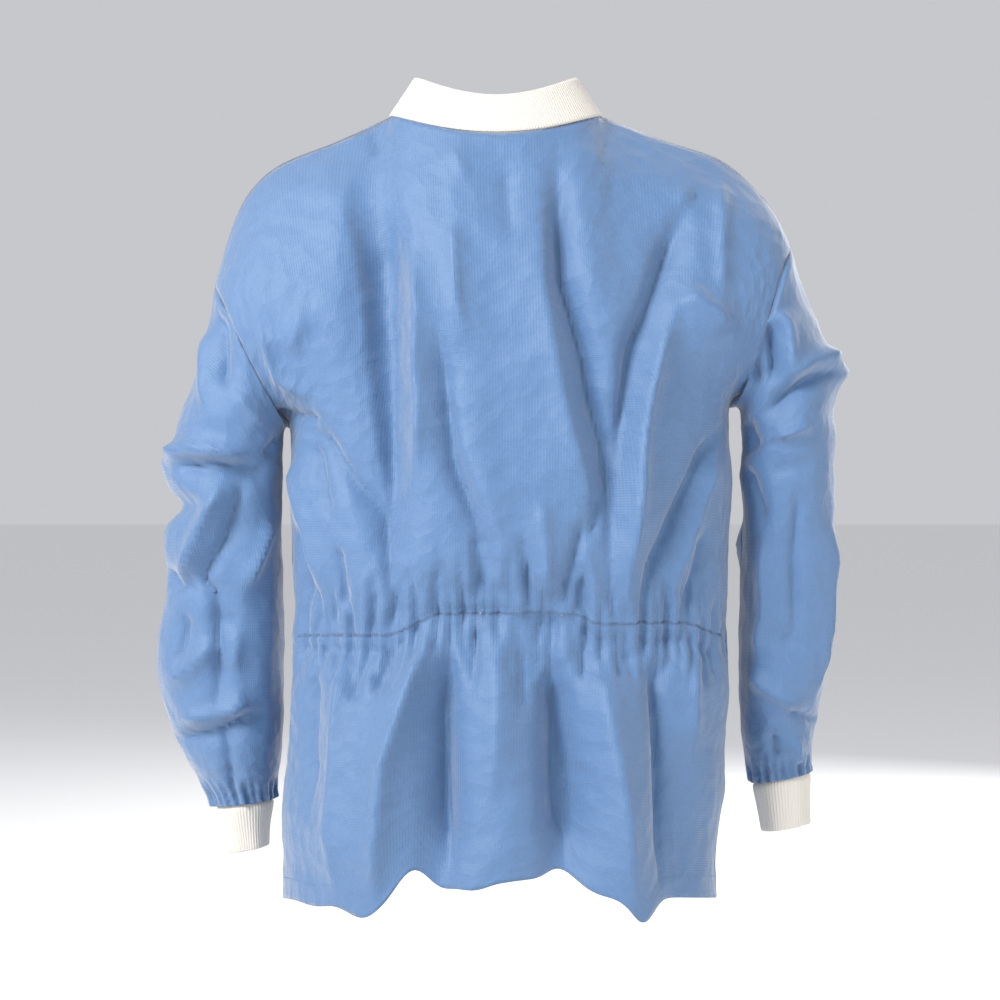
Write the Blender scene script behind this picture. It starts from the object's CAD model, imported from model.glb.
"""Looks of the disposable lab jacket: thin blue nonwoven cloth with a gathered back waist, and rib-knit
collar and cuffs. Lengths are in millimetres until build() makes them metres."""

import math

import bpy
import numpy as np
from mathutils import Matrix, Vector


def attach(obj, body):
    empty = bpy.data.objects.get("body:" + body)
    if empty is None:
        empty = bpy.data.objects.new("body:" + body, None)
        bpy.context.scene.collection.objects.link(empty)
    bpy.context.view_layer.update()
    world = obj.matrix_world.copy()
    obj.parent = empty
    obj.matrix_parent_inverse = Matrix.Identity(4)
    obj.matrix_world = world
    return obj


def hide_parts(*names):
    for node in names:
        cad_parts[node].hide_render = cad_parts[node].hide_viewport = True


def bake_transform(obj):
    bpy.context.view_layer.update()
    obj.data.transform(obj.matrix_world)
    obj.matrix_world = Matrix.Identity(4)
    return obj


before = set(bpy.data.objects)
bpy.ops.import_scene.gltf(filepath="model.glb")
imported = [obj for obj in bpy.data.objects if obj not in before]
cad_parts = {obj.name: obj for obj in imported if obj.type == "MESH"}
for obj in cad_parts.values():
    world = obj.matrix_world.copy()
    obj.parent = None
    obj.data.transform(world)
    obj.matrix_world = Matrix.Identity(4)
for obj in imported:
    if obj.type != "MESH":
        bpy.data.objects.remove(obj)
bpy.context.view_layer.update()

# ------------------------------------------------------------------ sizes of the worn shape, in mm
NECK_HALF_WIDTH = 104
NECK_SHIFT = 6
NECK_BACK = (62, 24)
NECK_FRONT = (90, 62)
COLLAR_HEIGHT = 34
COLLAR_LEAN = 23
SIDE_Y = -5
WAIST_Z = -502
WAIST_TUCK = 5
HEM_SIDE_Z = -786
NECK_SHARE = 0.4
ROUNDNESS = 2.1
BACK_PROFILE = [
    (-30, 62), (-90, 88), (-160, 106), (-240, 116), (-310, 120), (-400, 124), (-455, 120),
    (-499, 99), (-545, 112), (-620, 124), (-700, 130), (-764, 133),
]
FRONT_PROFILE = [
    (-62, -90), (-110, -106), (-180, -122), (-250, -130), (-310, -132), (-400, -128), (-500, -120),
    (-600, -124), (-700, -130), (-766, -133),
]
# place across the back, how far it stands out, half width
SKIRT_FOLDS = [(135, 10, 48), (66, -22, 22), (12, 5, 28), (-58, -24, 24), (-125, 12, 36), (-172, -7, 16)]
LAP = 19
LAP_RISE = 7.5
SWING_TOP = np.array([66, -88, -45])
SWING_HEM = np.array([110, -133, -766])

# ridge: the shoulder line; rings and cuff: x, y, z of the centre, half width, half depth, tilt
ARMS = {
    "left": {
        "sign": 1, "waist": 213, "hem": 223,
        "ridge": [(110, 0), (165, -26), (222, -50), (254, -80), (273, -122), (287, -172)],
        "rings": [
            (250.5, -2, -242, 36.5, 66, 70), (265, -8, -300, 48, 68, 40), (281, -18, -362, 63, 66, 12),
            (281, -32, -450, 63, 62, 0), (283, -44, -540, 65, 60, 0), (279, -54, -620, 62, 56, -2),
            (271, -60, -670, 46, 47, -3), (263, -63, -697, 31, 33, -4),
        ],
        "cuff": [(263, -63, -698.5, 30, 32, -4), (261, -65, -722, 24, 28, -4), (259, -67, -745, 21, 26, -4)],
    },
    "right": {
        "sign": -1, "waist": 231, "hem": 218,
        "ridge": [(98, 0), (160, -24), (220, -46), (260, -82), (276, -106), (287, -130)],
        "rings": [
            (259.5, -2, -211, 27.5, 66, 81), (277, -8, -262, 43, 68, 54), (291, -16, -305, 54, 67, 38),
            (289, -24, -350, 52, 64, 10), (288, -36, -450, 51, 60, 0), (285, -48, -550, 49, 57, 0),
            (280, -56, -615, 45, 51, 2), (282, -60, -650, 38, 42, 4), (286, -62, -671, 31, 33, 6),
        ],
        "cuff": [(286, -62, -672.5, 30, 32, 6), (288, -64, -698, 27, 29, 5), (290, -66, -723, 25, 27, 4)],
    },
}
LEFT, RIGHT = ARMS["left"], ARMS["right"]


# ------------------------------------------------------------------ the worn surface, as in the CAD source
def smooth(a, b, x):
    t = np.clip((x - a) / (b - a), 0, 1)
    return t * t * (3 - 2 * t)


def lerp(a, b, t):
    return a + (b - a) * t


def through(rows, t):
    """A smooth curve through rows of numbers, at t in 0..1."""
    rows = np.asarray(rows, float)
    last = len(rows) - 1
    at = np.clip(np.asarray(t, float) * last, 0, last - 1e-9)
    i = at.astype(int)
    f = (at - i)[..., None]
    a, b, c, d = rows[np.maximum(i - 1, 0)], rows[i], rows[i + 1], rows[np.minimum(i + 2, last)]
    return b + 0.5 * f * (c - a + f * (2 * a - 5 * b + 4 * c - d + f * (3 * (b - c) + d - a)))


def profile(rows, z):
    rows = np.array(rows, float)
    z = np.asarray(z, float)
    k = np.clip(np.searchsorted(-rows[:, 0], -z), 1, len(rows) - 1)
    t = np.minimum(1, (z - rows[k - 1, 0]) / (rows[k, 0] - rows[k - 1, 0]))
    return through(rows[:, 1:], (k - 1 + t) / (len(rows) - 1))[..., 0]


def neckline(turn, sign):
    """Turn 0 is the centre back, pi the centre front."""
    c = np.cos(turn)
    depth = np.where(c > 0, NECK_BACK[0], NECK_FRONT[0])
    drop = np.where(c > 0, NECK_BACK[1], NECK_FRONT[1])
    x = NECK_SHIFT + sign * NECK_HALF_WIDTH * np.sin(turn)
    return np.stack([x, depth * c, -drop * c**2], -1)


def ring_point(ring, turn, sign):
    """Turn 0 is the outer side, pi the side next to the body, 0..pi over the back."""
    x, y, z, wide, deep, tilt = np.moveaxis(np.asarray(ring, float), -1, 0)
    c, s = np.cos(turn), np.sin(turn)
    return np.stack(np.broadcast_arrays(sign * (x + wide * c), y + deep * s, z + tilt * c), -1)


def pit_z(arm):
    return arm["rings"][0][2] - arm["rings"][0][5]


def lower_point(back, arm, share, z):
    rows = BACK_PROFILE if back else FRONT_PROFILE
    low, top = rows[-1][0], pit_z(arm)
    share, z = np.broadcast_arrays(np.asarray(share, float), np.asarray(z, float))
    side = lerp(HEM_SIDE_Z, top, (z - low) / (top - low))
    turn = share * math.pi / 2
    power = 2 / ROUNDNESS
    at_pit = abs(ring_point(arm["rings"][0], math.pi, arm["sign"])[0])
    below = lerp(arm["waist"], arm["hem"], smooth(WAIST_Z - 40, HEM_SIDE_Z, side))
    dip = WAIST_TUCK * np.exp(-(((side - WAIST_Z) / 34) ** 2))
    half = lerp(at_pit, below, smooth(top, top - 60, side)) - dip
    centre = profile(rows, z)
    x = arm["sign"] * half * np.abs(np.sin(turn)) ** power
    y = SIDE_Y + (centre - SIDE_Y) * np.maximum(0, np.cos(turn)) ** power
    return np.stack([x, y, lerp(z, side, share**1.5)], -1)


def upper_point(back, arm, share, up):
    """Coons patch between the row at the armpits (up 0) and the neckline and shoulder seam (up 1)."""
    share, up = np.broadcast_arrays(np.asarray(share, float), np.asarray(up, float))
    rows = BACK_PROFILE if back else FRONT_PROFILE
    face = 0 if back else math.pi
    sign, top_z, low_z = arm["sign"], rows[0][0], pit_z(arm)

    def low(s):
        return lower_point(back, arm, s, low_z)

    def top(s):
        neck = neckline(np.abs(face - (np.minimum(s, NECK_SHARE) / NECK_SHARE) * (math.pi / 2)), sign)
        r = through(arm["ridge"], np.clip((s - NECK_SHARE) / (1 - NECK_SHARE), 0, 1))
        ridge = np.stack([sign * r[..., 0], 0 * r[..., 0], r[..., 1]], -1)
        return np.where((s <= NECK_SHARE)[..., None], neck, ridge)

    def middle(t):
        z = lerp(low_z, top_z, t)
        return np.stack([NECK_SHIFT * smooth(0, 1, t), profile(rows, z), z], -1)

    def edge(t):
        turn = math.pi * (1 - t) if back else math.pi * (1 + t)
        p = ring_point(arm["rings"][0], turn, sign)
        bulge = 66 * np.maximum(0, np.sin(math.pi * t)) ** 0.9
        p[..., 1] = SIDE_Y * (1 - t) + (1 if back else -1) * bulge
        return p

    zero, one = np.zeros_like(share), np.ones_like(share)
    s, t = share[..., None], up[..., None]
    across = lerp(low(share), top(share), t)
    along = lerp(middle(up), edge(up), s)
    corners = lerp(lerp(low(zero), low(one), s), lerp(top(zero), top(one), s), t)
    return across + along - corners


PIT_ROW = 0.62


def body_point(back, arm, share, up):
    """share: 0 centre line, 1 side, below 0 past the centre line; up: 0 hem, 1 neckline and shoulder."""
    share, up = np.broadcast_arrays(np.asarray(share, float), np.asarray(up, float))
    rows = BACK_PROFILE if back else FRONT_PROFILE
    z = lerp(rows[-1][0], pit_z(arm), up / PIT_ROW)
    s = np.abs(share)
    low = lower_point(back, arm, s, z)
    high = upper_point(back, arm, s, np.clip((up - PIT_ROW) / (1 - PIT_ROW), 0, 1))
    p = np.where((up <= PIT_ROW)[..., None], low, high)
    if (share < 0).any():
        middle = body_point(back, arm, 0 * share, up)[..., 0]
        p[..., 0] = np.where(share < 0, 2 * middle - p[..., 0], p[..., 0])
    return p


# ------------------------------------------------------------------ one welded net over all the cloth
NC, NL, NU, LAPC = 80, 92, 46, 6  # columns of half a panel, rows below and above the armpit, lap columns
NR = NL + NU
NS = 96  # rings down a sleeve
rows_up = np.r_[np.linspace(0, PIT_ROW, NL + 1), np.linspace(PIT_ROW, 1, NU + 1)[1:]]

points = []


def add_points(block):
    flat = block.reshape(-1, 3)
    first = sum(len(b) for b in points)
    points.append(flat)
    return (first + np.arange(len(flat))).reshape(block.shape[:-1])


def back_grid():
    shares = np.arange(NC + 1) / NC
    right = body_point(True, RIGHT, shares[::-1, None], rows_up[None])
    left = body_point(True, LEFT, shares[1:, None], rows_up[None])
    middle = right[-1] * 0.5 + body_point(True, LEFT, 0.0, rows_up) * 0.5
    right[-1] = middle
    return add_points(np.concatenate([right, left]))


def front_grid(arm, back_index, seam_column):
    """Shares its side seam and its shoulder seam with the back."""
    quarter = np.abs(body_point(False, arm, 0.25, rows_up)[:, 0]) / 0.25
    lap = -LAP / np.maximum(60, quarter)
    across = np.linspace(0, 1, LAPC + 1)[:-1, None]
    panel_shares = np.tile((np.arange(NC + 1) / NC)[:, None], (1, NR + 1))
    shares = np.concatenate([lerp(lap[None], 0, across), panel_shares])
    index = add_points(body_point(False, arm, shares, rows_up[None]))
    index[-1, : NL + 1] = back_index[seam_column, : NL + 1]
    neck = LAPC + round(NECK_SHARE * NC)
    step = 1 if seam_column else -1
    for c in range(neck, LAPC + NC + 1):
        index[c, NR] = back_index[NC + step * (c - LAPC), NR]
    return index


B = back_grid()
FL = front_grid(LEFT, B, 2 * NC)
FR = front_grid(RIGHT, B, 0)


def sleeve_grid(arm, back_column, front_column):
    """Ring 0 is the armhole itself: over the back from the shoulder tip to the armpit, then up the front."""
    behind = back_column[NL:][::-1]
    before = front_column[NL:]
    first = np.r_[behind, before[1:-1]]
    turn = np.arange(2 * NU) / NU * math.pi
    down = np.linspace(0, 1, NS + 1)[1:]
    rings = through(arm["rings"], down)
    block = ring_point(rings[:, None], turn[None], arm["sign"])
    return np.concatenate([first[None], add_points(block)])


SL = sleeve_grid(LEFT, B[2 * NC], FL[-1])
SR = sleeve_grid(RIGHT, B[0], FR[-1])
base = np.concatenate(points)
used = np.zeros(len(base), bool)
for g in (B, FL, FR, SL, SR):
    used[g.ravel()] = True


def quads_of(grid, closed=False, flip=False):
    g = np.concatenate([grid, grid[:1]]) if closed else grid
    q = np.stack([g[:-1, :-1], g[1:, :-1], g[1:, 1:], g[:-1, 1:]], -1).reshape(-1, 4)
    return q[:, ::-1] if flip else q


def turned_out(p, quads, centre):
    a = np.cross(p[quads[:, 2]] - p[quads[:, 0]], p[quads[:, 3]] - p[quads[:, 1]])
    away = p[quads].mean(1) - centre
    return quads if (a * away).sum() > 0 else quads[:, ::-1]


AXIS = np.array([0, 0, -400.0])
Q = {
    "back_panel": turned_out(base, quads_of(B), AXIS),
    "left_front": turned_out(base, quads_of(FL), AXIS),
    "right_front": turned_out(base, quads_of(FR), AXIS),
    "left_sleeve": turned_out(base, quads_of(SL.T, closed=True), np.array([270, -30, -450.0])),
    "right_sleeve": turned_out(base, quads_of(SR.T, closed=True), np.array([-282, -30, -450.0])),
}


def normals_of(p, quads):
    n = np.zeros_like(p)
    a = np.cross(p[quads[:, 2]] - p[quads[:, 0]], p[quads[:, 3]] - p[quads[:, 1]])
    for k in range(4):
        for axis in range(3):
            n[:, axis] += np.bincount(quads[:, k], a[:, axis], len(p))
    return n / np.maximum(1e-9, np.linalg.norm(n, axis=1))[:, None]


ALL_QUADS = np.concatenate(list(Q.values()))


# ------------------------------------------------------------------ springs
def links(grid, closed=False):
    """Pairs of the net as (a, b, kind): 0 across, 1 down, 2 shear; those that resist bending are 3 across and
    4 down over two steps, and 5 across and 6 down over five."""
    found = []

    def pair(a, b, kind):
        found.append(np.stack([a.ravel(), b.ravel(), np.full(a.size, kind)], 1))

    def wrap(k):
        return np.roll(grid, -k, 0)

    g = grid
    if closed:
        pair(g, wrap(1), 0)
        pair(g, wrap(2), 3)
        pair(g, wrap(5), 5)
        pair(g[:, :-1], wrap(1)[:, 1:], 2)
        pair(g[:, 1:], wrap(1)[:, :-1], 2)
    else:
        pair(g[:-1], g[1:], 0)
        pair(g[:-2], g[2:], 3)
        pair(g[:-5], g[5:], 5)
        pair(g[:-1, :-1], g[1:, 1:], 2)
        pair(g[:-1, 1:], g[1:, :-1], 2)
    pair(g[:, :-1], g[:, 1:], 1)
    pair(g[:, :-2], g[:, 2:], 4)
    pair(g[:, :-5], g[:, 5:], 6)
    return np.concatenate(found)


# ------------------------------------------------------------------ drape folds, as seen from behind
# Each fold: points (x, z) in mm on the plane y = 0 seen from the viewpoint behind, depth (out is positive),
# half widths on its left-arm side and right-arm side, and how crisp its crest is (1 crisp, 2 round).
BACK_FOLDS = [
    # the big hollow under the left shoulder blade, its flanks and the ridge beside it
    ([(132, -60), (128, -150), (124, -240), (122, -330), (120, -400), (112, -480)], -15, 28, 24, 1.8),
    ([(151, -55), (159, -93), (150, -130), (142, -183), (139, -248), (135, -300), (128, -369), (120, -440)],
     7, 22, 9, 1.1),
    ([(95, -125), (85, -196), (89, -248), (84, -300), (90, -386)], 8, 8, 14, 1.1),
    ([(70, -200), (63, -238), (54, -300), (49, -352), (35, -386), (18, -431), (4, -475)], -8, 12, 10, 1.2),
    ([(52, -255), (40, -330), (22, -380), (0, -430)], 4, 8, 26, 1.4),
    # from the back of the neck
    ([(49, -32), (35, -70)], 3, 8, 8, 1),
    ([(49, -105), (46, -183), (34, -228)], 5, 10, 7, 1),
    ([(-2, -50), (-8, -110), (-14, -130)], -3, 10, 10, 1.2),
    # the long hollow down the right side
    ([(-57, -31), (-58, -90), (-60, -162), (-71, -195), (-84, -240), (-92, -285), (-106, -330), (-112, -400),
      (-108, -472)], -13, 14, 12, 1.2),
    ([(-40, -60), (-42, -160), (-52, -230), (-66, -300), (-84, -360), (-92, -420)], 5, 20, 9, 1.1),
    # under the right shoulder
    ([(-191, -83), (-170, -121), (-150, -183), (-133, -231), (-126, -283), (-122, -334), (-119, -386)],
     -10, 9, 13, 1.2),
    ([(-174, -91), (-191, -78)], 4, 6, 6, 1),
    ([(-179, -190), (-160, -231), (-145, -283), (-138, -334), (-133, -403), (-126, -472)], 11, 10, 14, 1.1),
    ([(-177, -187), (-193, -186), (-211, -197), (-231, -218)], 8, 12, 9, 1.1),
    ([(-222, -62), (-221, -120), (-222, -196)], 4, 6, 5, 1.2),
    ([(-231, -307), (-208, -334), (-181, -386), (-152, -438), (-139, -490)], -8, 8, 10, 1.1),
    ([(-208, -403), (-188, -486)], -6, 7, 9, 1),
    ([(-222, -330), (-196, -400), (-170, -470)], 5, 9, 9, 1.1),
    # small creases above the elastic
    ([(-84, -396), (-71, -445), (-57, -490)], -5, 6, 8, 1),
    ([(-101, -375), (-88, -420)], -4, 5, 6, 1),
    ([(-81, -455), (-78, -496)], -5, 5, 6, 1),
    ([(30, -420), (22, -490)], -4, 6, 8, 1),
    ([(-20, -410), (-28, -490)], -4, 8, 7, 1),
    ([(-40, -380), (-50, -488)], 4, 9, 7, 1.1),
    # under the left arm
    ([(213, -314), (180, -327), (156, -365), (128, -396), (115, -465), (106, -490)], -7, 9, 8, 1),
    ([(231, -306), (182, -308)], -5, 6, 8, 1),
    ([(242, -214), (225, -265), (190, -290)], 5, 8, 7, 1.1),
    ([(197, -197), (214, -245)], 4, 8, 8, 1.1),
    ([(197, -327), (184, -369), (175, -403)], -5, 7, 7, 1),
    ([(215, -340), (203, -400), (186, -470)], 5, 9, 8, 1.1),
    ([(212, -400), (198, -485)], -5, 7, 7, 1),
    ([(170, -420), (160, -488)], -5, 8, 7, 1),
    ([(129, -16), (127, -40)], -4, 6, 6, 1),
    # the skirt
    ([(-47, -520), (-55, -590), (-62, -665), (-68, -780)], -17, 15, 18, 1.3),
    ([(-98, -530), (-105, -620), (-118, -700), (-128, -790)], 9, 18, 22, 1.3),
    ([(67, -507), (88, -564), (112, -650), (125, -790)], 12, 22, 10, 1.1),
    ([(52, -520), (62, -600), (60, -700), (52, -780)], -13, 13, 15, 1.2),
    ([(190, -530), (196, -620), (192, -700)], -6, 9, 10, 1.1),
    ([(160, -515), (165, -600), (168, -700), (165, -790)], 6, 14, 14, 1.2),
    ([(8, -520), (4, -600), (12, -700)], 5, 16, 16, 1.3),
    ([(-22, -520), (-20, -600)], -4, 7, 8, 1),
    ([(-152, -515), (-158, -600), (-160, -780)], -10, 8, 9, 1.1),
    ([(-190, -520), (-196, -640)], 5, 10, 9, 1.1),
    ([(28, -512), (30, -575)], -5, 7, 7, 1),
    ([(110, -520), (128, -570)], -5, 7, 6, 1),
    ([(140, -530), (150, -585)], -4, 6, 6, 1),
    ([(-80, -512), (-84, -560)], -5, 6, 6, 1),
    ([(-128, -515), (-132, -560)], -4, 6, 6, 1),
]
LEFT_SLEEVE_FOLDS = [
    ([(288, -196), (283, -240), (277, -285)], -7, 8, 9, 1.1),
    ([(301, -205), (301, -260), (298, -300)], 5, 8, 7, 1.1),
    ([(267, -281), (238, -315)], 5, 7, 6, 1),
    ([(345, -354), (291, -355), (245, -362), (231, -344)], -9, 7, 9, 1),
    ([(345, -336), (291, -337), (245, -342)], 7, 10, 7, 1.2),
    ([(240, -334), (231, -341), (216, -320)], -4, 5, 5, 1),
    ([(276, -366), (296, -400), (310, -436), (328, -473)], 9, 9, 10, 1.1),
    ([(256, -363), (263, -397), (276, -428), (299, -460), (301, -470), (286, -486), (286, -528)],
     -7, 6, 7, 1),
    ([(286, -486), (284, -540), (285, -601)], -5, 5, 8, 1),
    ([(340, -455), (328, -475), (302, -472)], -6, 6, 6, 1),
    ([(231, -407), (243, -440), (257, -481)], 7, 8, 7, 1.1),
    ([(284, -530), (308, -552), (331, -575)], 6, 7, 7, 1),
    ([(284, -507), (262, -509)], -4, 5, 6, 1),
    ([(264, -520), (269, -559)], 4, 6, 6, 1),
    ([(273, -604), (259, -581)], 4, 6, 6, 1),
    ([(335, -632), (284, -622), (250, -606), (225, -604)], -7, 7, 8, 1),
    ([(330, -610), (284, -603), (240, -588)], 5, 8, 7, 1.1),
    ([(281, -617), (273, -638), (269, -692)], -4, 5, 6, 1),
    ([(318, -500), (322, -560)], -5, 7, 7, 1),
    ([(322, -240), (326, -300)], -5, 7, 8, 1.1),
]
RIGHT_SLEEVE_FOLDS = [
    ([(-277, -194), (-287, -221), (-288, -269)], 7, 6, 9, 1),
    ([(-268, -205), (-272, -250), (-268, -275)], -8, 8, 8, 1.1),
    ([(-249, -225), (-249, -280)], -7, 8, 8, 1.2),
    ([(-344, -254), (-314, -262), (-266, -300), (-257, -305)], -8, 7, 8, 1),
    ([(-344, -236), (-312, -246), (-280, -270)], 6, 8, 6, 1.1),
    ([(-312, -312), (-269, -326)], 6, 8, 6, 1),
    ([(-232, -310), (-250, -345)], -7, 8, 8, 1.1),
    ([(-264, -358), (-321, -351)], -2.5, 4, 4, 1),
    ([(-241, -353), (-262, -413)], -5, 7, 6, 1),
    ([(-329, -401), (-329, -449), (-325, -509), (-319, -553), (-310, -598)], 6, 7, 6, 1),
    ([(-300, -370), (-292, -450), (-296, -540)], -5, 9, 10, 1.2),
    ([(-244, -561), (-276, -583), (-308, -601)], 6, 7, 7, 1),
    ([(-258, -420), (-262, -500), (-252, -560)], 5, 8, 7, 1.1),
    ([(-271, -622), (-273, -650)], -4, 5, 6, 1),
    ([(-296, -625), (-298, -655)], 4, 6, 5, 1),
    ([(-328, -610), (-280, -600)], -5, 6, 6, 1),
    ([(-262, -520), (-300, -530)], -4, 6, 6, 1),
]
# the fronts, in their own x and z
FRONT_FOLDS = [
    ([(122, -50), (114, -160), (118, -290)], -4, 16, 12, 1.3),
    ([(78, -80), (74, -200), (82, -340)], 3, 18, 12, 1.3),
    ([(205, -110), (180, -210), (150, -330)], 6, 16, 10, 1.1),
    ([(228, -200), (196, -262), (150, -300)], -5, 9, 12, 1.1),
    ([(214, -300), (176, -350), (140, -440)], -7, 10, 14, 1.1),
    ([(208, -330), (184, -430), (176, -550)], 5, 12, 10, 1.2),
    ([(140, -430), (134, -560), (140, -780)], -6, 18, 14, 1.2),
    ([(96, -360), (102, -500), (108, -780)], 5, 18, 22, 1.3),
    ([(190, -540), (196, -660), (190, -780)], 6, 16, 14, 1.3),
    ([(62, -420), (58, -560), (64, -700)], -3, 16, 14, 1.3),
    ([(-118, -45), (-110, -170), (-100, -300)], -5, 12, 18, 1.2),
    ([(-200, -100), (-172, -200), (-160, -320)], 5, 12, 16, 1.1),
    ([(-236, -240), (-196, -290), (-150, -320)], -5, 12, 9, 1.1),
    ([(-222, -310), (-186, -360), (-156, -450)], -7, 12, 10, 1.1),
    ([(-216, -350), (-196, -450), (-186, -560)], 5, 10, 12, 1.2),
    ([(-84, -200), (-80, -330), (-92, -460)], -4, 16, 14, 1.3),
    ([(-128, -440), (-122, -600), (-130, -780)], 6, 16, 20, 1.2),
    ([(-160, -480), (-158, -620), (-168, -780)], -6, 12, 16, 1.2),
    ([(-72, -500), (-76, -640), (-70, -780)], -5, 16, 16, 1.3),
    ([(-196, -560), (-202, -680), (-196, -780)], 4, 12, 14, 1.3),
]
VIEW_BEHIND = (2, 2600, -390)
FRONT_OF_SLEEVE = 0.7  # how deep the sleeves' front folds are beside those behind
FOLD_DEPTH = 2.1


FRONT_DEPTH = 1.3
BASE_ROUNDS = 60  # smoothing of the base
RELAX_ROUNDS, RELAX_STEP, RELAX_CARRY = 140, 0.95, 0.88
MOST_MOVE, MOST_FRONT_MOVE = 44.0, 14.0  # mm the cloth may leave the base
SEAM_SINK = 0.7


def seen_from_behind(p):
    """Where points fall on the plane y = 0, looked at from behind the wearer."""
    scale = VIEW_BEHIND[1] / (VIEW_BEHIND[1] - p[:, 1])
    x = VIEW_BEHIND[0] + (p[:, 0] - VIEW_BEHIND[0]) * scale
    return x, VIEW_BEHIND[2] + (p[:, 2] - VIEW_BEHIND[2]) * scale


def along_path(px, pz, path):
    """Signed distance from a path, and how far along it. On the way down, the left arm's side is positive."""
    path = np.asarray(path, float)
    a, d = path[:-1], np.diff(path, axis=0)
    length = np.hypot(d[:, 0], d[:, 1])
    start = np.r_[0, np.cumsum(length)]
    best = np.full(px.shape, 1e9)
    signed, where = np.zeros_like(px), np.zeros_like(px)
    for k in range(len(a)):
        t = np.clip(((px - a[k, 0]) * d[k, 0] + (pz - a[k, 1]) * d[k, 1]) / length[k] ** 2, 0, 1)
        qx, qz = px - a[k, 0] - t * d[k, 0], pz - a[k, 1] - t * d[k, 1]
        distance = np.hypot(qx, qz)
        near = distance < best
        side = np.sign(d[k, 0] * qz - d[k, 1] * qx)
        signed = np.where(near, side * distance, signed)
        where = np.where(near, (start[k] + t * length[k]) / start[-1], where)
        best = np.minimum(best, distance)
    return signed, where


def mirrored(folds):
    """The same folds on the other side of the body."""
    return [
        ([(-x, z) for x, z in path], depth, minus, plus, crisp) for path, depth, plus, minus, crisp in folds
    ]


def fold_height(p, folds, behind=True):
    px, pz = seen_from_behind(p) if behind else (p[:, 0], p[:, 2])
    height = np.zeros(len(p))
    for path, depth, plus, minus, crisp in folds:
        signed, where = along_path(px, pz, path)
        wide = np.where(signed > 0, plus, minus)
        taper = 0.12 + 0.88 * smooth(0, 0.22, where) * smooth(1, 0.7, where)
        height += depth * taper * np.exp(-((np.abs(signed) / wide) ** crisp))
    return height


def crumple(p, waves, size, seed):
    """Shallow paper-like creases: folded sine waves in all directions, wavelengths in mm."""
    r = np.random.default_rng(seed)
    total = np.zeros(len(p))
    for _ in range(waves):
        direction = r.normal(size=3)
        direction /= np.linalg.norm(direction)
        length = r.uniform(*size)
        bend = 0.7 * np.sin(p @ r.normal(size=3) / (1.3 * length) + r.uniform(0, 6.3))
        total += 1 - 2 * np.abs(np.sin(p @ direction * math.pi / length + bend + r.uniform(0, 6.3))) ** 0.8
    return total / math.sqrt(waves)


# ------------------------------------------------------------------ the cloth's cut, as fullness of the net
# where the back hem rises or dips with a fold: place across, rise, half width
HEM_WAVES = [
    (-138, -27, 17), (-62, 28, 24), (-22, 15, 26), (8, 8, 20), (48, 7, 22), (90, 30, 19), (138, -22, 24),
    (186, -9, 22),
]


def hem_lift(x):
    return sum(rise * np.exp(-(((x - at) / wide) ** 2)) for at, rise, wide in HEM_WAVES)


def elastic_height(x):
    """The gathered line across the back, seen from behind: level in the middle, lower to both sides."""
    x = np.asarray(x, float)
    left = 20 * smooth(60, 122, x)
    right = 8 * smooth(-70, -100, x) + 13 * smooth(-185, -230, x)
    return WAIST_Z - 1 - left - right


def gathers():
    """Short creases that fan out above and below the elastic."""
    r = np.random.default_rng(23)
    made = []
    for place in np.arange(-212, 212, 9.5):
        x = place + r.uniform(-4, 4)
        z = elastic_height(x)
        for way, longest in ((1, 86), (-1, 62)):
            reach = r.uniform(0.3, 1.0) * longest
            lean = r.uniform(-0.22, 0.22) * reach
            path = [(x, z - 12 * way), (x + 0.3 * lean, z + way * reach / 2), (x + lean, z + way * reach)]
            made.append((path, -r.uniform(1.2, 3.2), r.uniform(3.5, 6), r.uniform(3.5, 6), 1.1))
    return made


def evenly(p, a, b, rounds, held):
    """Rounds off the base where its patches meet; a and b are the two ends of each link."""
    count = np.bincount(np.r_[a, b], minlength=len(p)).clip(1)
    p = p.copy()
    for _ in range(rounds):
        mean = np.stack([np.bincount(np.r_[a, b], np.r_[p[b, k], p[a, k]], len(p)) for k in range(3)], 1)
        mean /= count[:, None]
        p = np.where(held[:, None], p, p + 0.5 * (mean - p))
    return p


LINKS = {
    "back": links(B), "left": links(FL), "right": links(FR),
    "left_sleeve": links(SL.T, closed=True), "right_sleeve": links(SR.T, closed=True),
}
every = np.concatenate(list(LINKS.values()))
edges = every[every[:, 2] <= 1]
held = ~used
held[B[:, [0, -1]]] = True
for grid in (FL, FR):
    held[grid[:, [0, -1]]] = True
    held[grid[: LAPC + 12]] = True
for grid in (SL, SR):
    held[grid[-1]] = True
base = evenly(base, edges[:, 0], edges[:, 1], BASE_ROUNDS, held)
normal = normals_of(base, ALL_QUADS)


def heights_on_panels():
    """How far up its panel each point is, for the zones of the cut; 0 on the sleeves."""
    up = np.zeros(len(base))
    for grid in (B, FL, FR):
        up[grid] = rows_up[None]
    return up


up_of = heights_on_panels()
waist_share = (WAIST_Z + 3 - BACK_PROFILE[-1][0]) / (pit_z(LEFT) - BACK_PROFILE[-1][0]) * PIT_ROW
is_back = np.zeros(len(base), bool)
is_back[B] = True
is_left_sleeve = np.zeros(len(base), bool)
is_left_sleeve[SL[1:]] = True
is_right_sleeve = np.zeros(len(base), bool)
is_right_sleeve[SR[1:]] = True
is_sleeve = is_left_sleeve | is_right_sleeve
is_front = used & ~is_back & ~is_sleeve
down_sleeve = np.zeros(len(base))
for grid in (SL, SR):
    down_sleeve[grid[1:]] = (np.arange(1, NS + 1) / NS)[:, None]

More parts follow.
